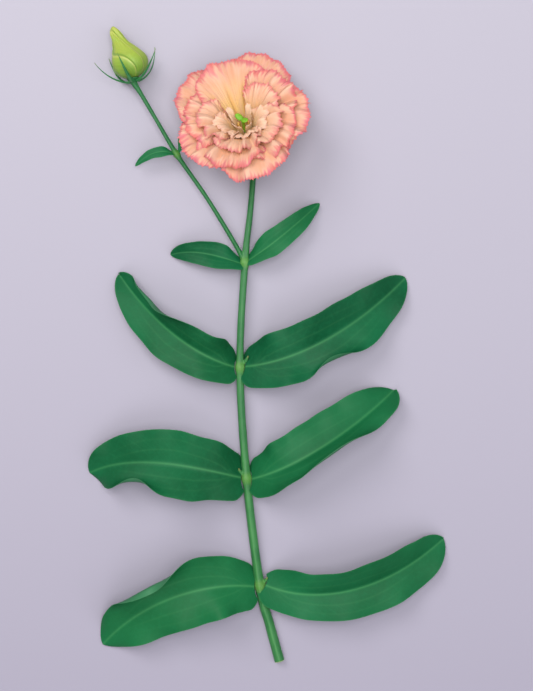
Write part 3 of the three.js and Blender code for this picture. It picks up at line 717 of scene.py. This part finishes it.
def stem():
    up = lambda at, axis, back: at - axis * back
    sp, sr, sm, srings = stalk(STEM, [up(BLOOM_BASE, AXIS, 5.6), up(BLOOM_BASE, AXIS, 3.2), up(BLOOM_BASE, AXIS, 0)], [2.2, 4.6, 7.0], [2, 3, 4, 5], 48, 21, 460)
    bp, br, bm, brings = stalk(BRANCH, [up(BUD_BASE, BUD_AXIS, 3.4), up(BUD_BASE, BUD_AXIS, 0)], [1.9, 4.4], [3], 36, 22, 220)
    verts, faces = closed_rings(srings)
    parts = [(verts, faces)]
    parts.append(closed_rings(brings))
    # small side buds and scars in the leaf axils
    tips = []
    for n, (side, tall) in {2: (1, 5.5), 3: (-1, 6.5), 4: (1, 7.5)}.items():
        at = np.array(STEM[n][:3])
        lean = unit([side * 0.55, 0.75, 0.35])
        start = at + np.array([side * (STEM[n][3] - 0.3), 1.6, 0.6])
        t = np.linspace(0, 1, 22)[:, None]
        path = start + lean * tall * t + np.array([side * -0.9, 0, 0.5]) * t * t
        radius = 0.95 * np.sin(math.pi * np.clip(0.16 + 0.84 * t[:, 0], 0, 0.995)) ** 0.8 + 0.05
        parts.append(closed_rings(tube_verts(path, radius, 18)))
        tips.append(path[-1])
    all_v, all_f, count = [], [], 0
    for v, f in parts:
        all_v.append(v)
        all_f.append(f + count)
        count += len(v)
    ob = make("stem_fused", np.vstack(all_v), np.vstack(all_f))
    # one skin over all of it
    mod = ob.modifiers.new("one_skin", "REMESH")
    mod.mode = "VOXEL"
    mod.voxel_size = 0.00034 / 1.0
    mod.use_smooth_shade = True
    soft = ob.modifiers.new("soften", "SMOOTH")
    soft.factor, soft.iterations = 0.5, 3
    deps = bpy.context.evaluated_depsgraph_get()
    fused = bpy.data.meshes.new_from_object(ob.evaluated_get(deps))
    old = ob.data
    ob.modifiers.clear()
    ob.data = fused
    bpy.data.meshes.remove(old)
    fused.polygons.foreach_set("use_smooth", np.ones(len(fused.polygons), dtype=bool))
    co = np.empty(len(fused.vertices) * 3, dtype=np.float32)
    fused.vertices.foreach_get("co", co)
    co = co.reshape(-1, 3) / MM - SHIFT
    # where the nodes, ridges and the cut face are
    node = np.zeros(len(co))
    for p in [STEM[k] for k in (2, 3, 4, 5)] + [BRANCH[3]]:
        d = np.linalg.norm(co - np.array(p[:3]), axis=1)
        node = np.maximum(node, np.exp(-((np.maximum(d - p[3], 0) / 1.6) ** 2)))
    from mathutils import kdtree

    tree = kdtree.KDTree(len(sp) + len(bp))
    for k, p in enumerate(np.vstack([sp, bp])):
        tree.insert(p, k)
    tree.balance()
    near = np.array([tree.find(p)[1] for p in co])
    radii = np.concatenate([sr, br])[near]
    ridge = smooth(1.0, 1.04, np.linalg.norm(co - np.vstack([sp, bp])[near], axis=1) / radii)
    cut = smooth(0.5, 0.15, (co - sp[0]) @ unit(sp[1] - sp[0])) * (np.linalg.norm(co - sp[0], axis=1) < 5)
    scar = np.zeros(len(co))
    for p in tips:
        scar = np.maximum(scar, np.exp(-((np.linalg.norm(co - p, axis=1) / 1.5) ** 2)))
    for key, values in (("node", node), ("ridge", ridge), ("cut", cut), ("high", smooth(-60, 110, co[:, 1])), ("scar", scar)):
        a = fused.attributes.new(key, "FLOAT", "POINT")
        a.data.foreach_set("value", values.astype(np.float32))
    finish_piece(ob, STEM_M, "stem", "stem")


stem()

# ------------------------------------------------------------------ bud

BUD = [(0, 3.6), (2, 7.2), (5, 9.9), (8.5, 10.9), (12, 10.3), (16, 8.2), (20, 5.9), (24, 4.3), (28, 3.2), (31, 2.0), (32.5, 0.9), (33, 0.12)]


def bud():
    n, m = int(170 * FINE), int(200 * FINE)
    q, _ = catmull([(r, 0, z) for z, r in BUD], 400)
    run = np.concatenate([[0], np.cumsum(np.linalg.norm(np.diff(q, axis=0), axis=1))])
    even = np.linspace(0, run[-1], n)
    R, Z = np.interp(even, run, q[:, 0]), np.interp(even, run, q[:, 2])
    phi = np.arange(m) / m * TAU
    t = (Z / 33)[:, None]
    # five wrapped petals: each one's free edge lies over the next and winds round the cone
    wind = phi[None] / TAU * 5 + 0.35 * np.sin(phi[None] * 2 + 1) + (1.9 * t**1.3) + 0.10 * np.sin(6 * t + phi[None])
    f = wind % 1.0
    step = (1 - smooth(0.0, 0.10, f)) * 1.0 + smooth(0.10, 1.0, f) * 0.98
    lip_height = (0.55 + 0.55 * smooth(0.2, 0.6, t)) * (1 - 0.3 * smooth(0.9, 1, t)) * smooth(0.02, 0.15, t)
    wave = 0.28 * np.sin(17 * phi[None] + 7 * t) * smooth(0.3, 0.8, t) * smooth(0.4, 1, f)
    r = R[:, None] * (1 + 0.015 * np.sin(5 * phi[None] + 2 * t)) + lip_height * (step - 0.7) * np.minimum(1, R[:, None] / 3) + wave * np.minimum(1, R[:, None] / 5)
    r = np.maximum(r, 0.05)
    k = smooth(10, 33, Z)[:, None]
    P = np.stack([r * np.cos(phi) - 5.5 * k, r * np.sin(phi) + 1.2 * k, np.broadcast_to(Z[:, None], r.shape) + 0.3], -1)
    verts, faces = closed_rings(P)
    verts = verts @ BUD_TURN.T + BUD_BASE
    verts[:, 2] = np.maximum(verts[:, 2], 0.3)
    pad = lambda a: np.concatenate([np.ravel(np.broadcast_to(a, r.shape)), [0, 0]])
    ob = make("bud_wrapped", verts, faces, {
        "along": pad(t), "fold": pad(np.exp(-(((f - 0.07) / 0.05) ** 2))), "lip": pad(smooth(0.86, 1.0, f)), "side": pad(f + np.floor(wind)),
    })
    finish_piece(ob, BUD_M, "bud", "bud")


bud()
for i, (bearing, spread) in enumerate([(27, [72, 30, 10]), (153, [72, 26, 4]), (205, [72, 46, 26]), (270, [72, 44, 30]), (-26, [72, 50, 38])]):
    sepal(f"bud_sepal_{i + 1}_needle", f"bud_sepal_{i + 1}", 4.6, 22.6, 1.1, spread, -1.6, bearing, BUD_BASE, BUD_TURN, 1.9, 320 + i)

# ------------------------------------------------------------------ leaves

LEAVES = [
    ("leaf_low_right", [[10.6, -139.4, 7.0], [42, -150, 25], [84, -141, 18], [118, -112, 1.4]], [[-0.22, 0.3, 0.93], [-0.08, -0.1, 0.99], [0.0, -0.12, 0.99]], 17.5, 0.56, 0.12, 3.0, [38, 16], 6, [0, 0], 0.6, 0.2),
    ("leaf_low_left", [[3.6, -140.2, 7.4], [-22, -134, 29], [-62, -145, 20], [-88, -176, 1.4]], [[0.22, 0.3, 0.93], [0.0, 0.2, 0.98], [-0.1, 0.1, 0.98]], 21.0, 0.46, 0.14, 2.3, [18, 24], -12, [-20, 150], 0.6, 0.17),
    ("leaf_middle_left", [[-4.5, -74.4, 8.6], [-30, -67, 29], [-68, -58, 19], [-96.05, -72, 1.4]], [[0.22, 0.3, 0.93], [0.1, -0.1, 0.98], [-0.1, -0.1, 0.98]], 21.0, 0.44, 0.12, 2.3, [26, 26], 12, [120, 0], 0.66, 0.14),
    ("leaf_middle_right", [[2.4, -75.2, 8.4], [26, -68, 29], [60, -48, 19], [88, -22, 1.4]], [[-0.22, 0.3, 0.93], [-0.1, 0.1, 0.98], [0.1, 0.0, 0.98]], 18.5, 0.5, 0.12, 2.5, [20, 46], -12, [30, 60], 0.5, 0.25),
    ("leaf_high_right", [[-1.7, -7.6, 9.2], [26, -5, 28], [62, 12, 18], [95, 46, 1.4]], [[-0.24, 0.3, 0.92], [-0.1, 0.05, 0.98], [0.1, 0.1, 0.98]], 19.0, 0.46, 0.12, 2.4, [30, 20], 14, [0, 140], 0.5, 0.13),
    ("leaf_high_left", [[-8.4, -7.8, 9.0], [-29, -2, 27], [-56, 16, 18], [-78, 48, 1.4]], [[0.22, 0.3, 0.93], [0.1, 0.0, 0.98], [-0.05, 0.05, 0.98]], 16.5, 0.48, 0.12, 2.4, [22, 44], -18, [0, 90], 0.74, 0.2),
    ("leaf_top_right", [[-0.6, 55.8, 7.8], [13, 64, 15], [27, 76, 13], [43, 91, 3.2]], [[-0.3, 0.6, 0.75], [-0.2, 0.1, 0.97], [0, 0, 1]], 7.8, 0.4, 0.16, 1.8, [24, 24], 12, [0, 0], 0.6, 0.2),
    ("leaf_top_left", [[-3.4, 54.2, 7.4], [-17, 58, 13], [-31, 64, 12], [-47, 60, 2.6]], [[0.25, 0.6, 0.76], [0.1, 0.2, 0.97], [0, 0, 1]], 8.2, 0.4, 0.16, 1.8, [24, 24], -10, [0, 40], 0.6, 0.25),
    ("bract_left", [[-43.8, 120.2, 10.2], [-53, 123, 14], [-61, 120, 12], [-68, 113, 8]], [[0.4, 0.8, 0.4], [0.1, 0.2, 0.97], [0, 0, 1]], 3.4, 0.34, 0.15, 1.5, [14, 14], 0, [0, 0], 0.6, 0.2),
    ("bract_right", [[-42.2, 121.0, 10.2], [-38, 129, 13], [-37, 137, 12], [-37.5, 145, 9]], [[-0.5, 0.6, 0.5], [-0.3, 0.1, 0.95], [0, 0, 1]], 3.0, 0.34, 0.15, 1.5, [14, 14], 0, [0, 0], 0.6, 0.2),
]
# height of the edge waves as a share of the half width
WAVY = {"leaf_low_right": 0.20, "leaf_low_left": 0.26, "leaf_middle_left": 0.25, "leaf_middle_right": 0.27, "leaf_high_right": 0.27, "leaf_high_left": 0.24, "leaf_top_right": 0.16, "leaf_top_left": 0.16, "bract_left": 0.08, "bract_right": 0.08}


def section(V, d, fold, arch, curl, at, span):
    """Half of a leaf's cross section, as (out, up) shares of its half width at the shares d of the way to the margin."""
    bend = np.exp(-(((V - at) / span) ** 2)) * (1 - 0.8 * smooth(0.86, 1, V))
    a = np.radians(fold) * smooth(0.02, 0.3, V) * (1 - 0.5 * smooth(0.85, 1, V)) * smooth(0, 0.14, d) - 2 * arch * d
    a = a + np.radians(curl) * bend * smooth(0.4, 1, d)
    step = np.diff(d[0])
    out = np.cumsum(0.5 * (np.cos(a)[:, 1:] + np.cos(a)[:, :-1]) * step, axis=1)
    rise = np.cumsum(0.5 * (np.sin(a)[:, 1:] + np.sin(a)[:, :-1]) * step, axis=1)
    return out, rise


def leaf(name, points, ups, half, widest, arch, blunt, fold, twist, curl, at, span, seed):
    rng = np.random.default_rng(seed)
    wavy = WAVY[name]
    size = 1.0 if half > 10 else 0.6
    ny, nx = int(190 * FINE * size), int(74 * FINE * size) | 1
    v1 = np.linspace(0, 1, ny) ** 1.0
    v1 = 0.5 * v1 + 0.5 * (1 - (1 - v1) ** 2)
    u1 = np.linspace(-1, 1, nx)
    V, U = np.meshgrid(v1, u1, indexing="ij")
    c, t = bezier(points, v1)
    k = smooth(0, 0.34, v1)[:, None]
    up = np.asarray(ups[0]) * (1 - k) + np.asarray(ups[1]) * k
    k = smooth(0.5, 1, v1)[:, None]
    up = up * (1 - k) + np.asarray(ups[2]) * k
    up = unit(up - np.sum(up * t, axis=1, keepdims=True) * t)
    side = np.cross(t, up)
    turn = np.radians(twist) * (smooth(0.15, 0.55, v1) * (1 - 0.7 * smooth(0.72, 1, v1)))[:, None]
    up, side = up * np.cos(turn) + side * np.sin(turn), side * np.cos(turn) - up * np.sin(turn)
    foot = 0.6 if half > 10 else 0.42
    grow = foot + (1 - foot) * np.sin(math.pi / 2 * np.clip(v1 / widest, 0, 1))
    grow = grow * (0.5 + 0.5 * np.sqrt(smooth(-0.01, 0.075, v1)))  # rounded shoulders at the stem
    close = (1 - np.clip((v1 - widest) / (1 - widest), 0, 1) ** blunt) ** 0.58
    body = np.where(v1 < widest, grow, close)
    hw = half * np.maximum(body, 0.02)
    W = U * hw[:, None]
    edge = np.abs(U)
    mid_column = nx // 2
    X, Z = np.zeros_like(V), np.zeros_like(V)
    d = U[:, mid_column:]
    out, rise = section(V[:, mid_column:], d, fold[1], arch, curl[1], at, span)
    X[:, mid_column + 1:], Z[:, mid_column + 1:] = out, rise
    out, rise = section(V[:, mid_column:], d, fold[0], arch, curl[0], at, span)
    X[:, :mid_column], Z[:, :mid_column] = -out[:, ::-1], rise[:, ::-1]
    X = X * hw[:, None] * (1 + 0.035 * wander(V * 80 + U * 3, rng, 30, 2))
    Z = Z * hw[:, None]
    left = wander(V * 100, rng, 44, 2)
    right = wander(V * 100, rng, 38, 2)
    roll = np.where(U < 0, left, right) * wavy * half * edge**1.7 * smooth(0.06, 0.3, V)
    roll = roll + 0.012 * half * wander(V * 100 + U * 9, rng, 20, 2) * edge * smooth(0.1, 0.3, V)
    # midrib: a groove above and a keel below, with two long side veins and finer ones between
    mid = np.exp(-((W / (0.75 * size)) ** 2)) * (1 - 0.55 * V)
    veins = np.zeros_like(V)
    for sign in (-1, 1):
        for share, power in ((0.42, 0.8), (0.74, 0.6)):
            at = sign * share * hw[:, None] * np.sin(math.pi * np.clip(V, 0.0, 1) ** 0.9) ** power * smooth(0, 0.16, V)
            veins = np.maximum(veins, np.exp(-(((W - at) / (0.5 * size)) ** 2)) * (0.5 if share < 0.6 else 0.3) * smooth(0.0, 0.1, V) * smooth(0.9, 0.6, V))
    # herringbone from the midrib towards the tip
    ribs = np.abs(np.sin((V * 34 - edge**1.3 * 5.2) * math.pi / 2 + 0.4 * wander(V * 30, rng, 8, 1)))
    fine = np.exp(-((ribs / 0.16) ** 2)) * smooth(0.04, 0.2, edge) * smooth(1.0, 0.8, edge) * (1 - 0.5 * V)
    off = Z + roll - 0.42 * mid - 0.12 * veins - 0.02 * fine
    lobe = -0.12 * half * edge**3 * (1 - smooth(0, 0.2, V)) - 0.12 * half * edge**2 * np.exp(-(((V - 0.05) / 0.06) ** 2))
    P = c[:, None] + side[:, None] * X[..., None] + up[:, None] * off[..., None] + t[:, None] * lobe[..., None]
    # it rests on the surface and doesn't go through it
    low = 0.55
    P[..., 2] = np.where(P[..., 2] < low + 2.0, low + 2.0 * np.exp((P[..., 2] - low - 2.0) / 2.0), P[..., 2])
    thick = 0.42 * size + 0.75 * size * mid + 0.12 * veins - 0.18 * size * smooth(0.9, 1, edge)
    ob = shell(name + "_veined", P, thick, {
        "vein": np.clip(mid * 1.1 + 0.35 * veins, 0, 1), "fine": fine, "rnd": np.full(V.shape, (seed * 0.377) % 1), "rim": (1 - edge) * hw[:, None],
    })
    finish_piece(ob, LEAF, "leaf", name)


for i, spec in enumerate(LEAVES):
    leaf(*spec, 500 + i)

# ------------------------------------------------------------------ floor, light and camera


def floor():
    p = Paint("surface")
    place = p.place()
    y = p.node("ShaderNodeSeparateXYZ", {0: place}).outputs[1]
    # painted light fall-off: the floor is darker towards -y, the bottom of the frame, and paler towards +y
    tone = p.mix(p.node("ShaderNodeMapRange", {"Value": y, "From Min": -0.26, "From Max": 0.22}).outputs[0], (0.274, 0.255, 0.322), (0.366, 0.348, 0.409))
    # paler far from the lamps, so that it meets the horizon softly
    away = p.node("ShaderNodeVectorMath", {0: place}, operation="LENGTH").outputs["Value"]
    tone = p.mix(p.band(away, 0.7, 2.6), tone, (0.86, 0.85, 0.90))
    mat = p.surface(tone, 0.8, Specular_IOR_Level=0.2)
    v = [(-4, -4, 0), (4, -4, 0), (4, 4, 0), (-4, 4, 0)]
    mesh = bpy.data.meshes.new("surface")
    mesh.from_pydata(v, [], [(0, 1, 2, 3)])
    ob = bpy.data.objects.new("surface", mesh)
    bpy.context.scene.collection.objects.link(ob)
    mesh.materials.append(mat)


def lamp(name, at, target, size, power, colour=(1, 1, 1)):
    data = bpy.data.lights.new(name, "AREA")
    data.shape, data.size, data.energy, data.color = "DISK", size, power, colour
    ob = bpy.data.objects.new(name, data)
    ob.location = at
    ob.rotation_mode = "QUATERNION"
    ob.rotation_quaternion = (Vector(target) - Vector(at)).to_track_quat("-Z", "Y")
    bpy.context.scene.collection.objects.link(ob)


floor()
lamp("key", (-0.75, 0.75, 1.25), (0, 0.05, 0), 1.0, 16.3, (1.0, 0.985, 0.96))
lamp("fill", (1.0, -0.3, 1.1), (0, 0, 0), 1.2, 5.6, (0.95, 0.97, 1.0))
lamp("front", (-0.1, -0.9, 1.2), (0, 0.1, 0), 1.0, 5.6, (1.0, 1.0, 1.0))
lamp("overhead", (0.05, 0.1, 1.5), (0, 0.1, 0), 0.9, 18.3, (1.0, 0.99, 0.97))
world = bpy.data.worlds.new("studio")
world.use_nodes = True
world.node_tree.nodes["Background"].inputs[0].default_value = (0.90, 0.90, 0.97, 1)
world.node_tree.nodes["Background"].inputs[1].default_value = 0.314
bpy.context.scene.world = world
bpy.context.scene.view_settings.view_transform = "Standard"

cam = bpy.data.objects.new("camera", bpy.data.cameras.new("camera"))
cam.data.lens, cam.data.sensor_width = 85, 36
cam.location = (0.0, 0.0, 0.99)
cam.rotation_euler = (0, 0, 0)
cam.data.clip_start, cam.data.clip_end = 0.01, 20
bpy.context.scene.collection.objects.link(cam)
bpy.context.scene.camera = cam
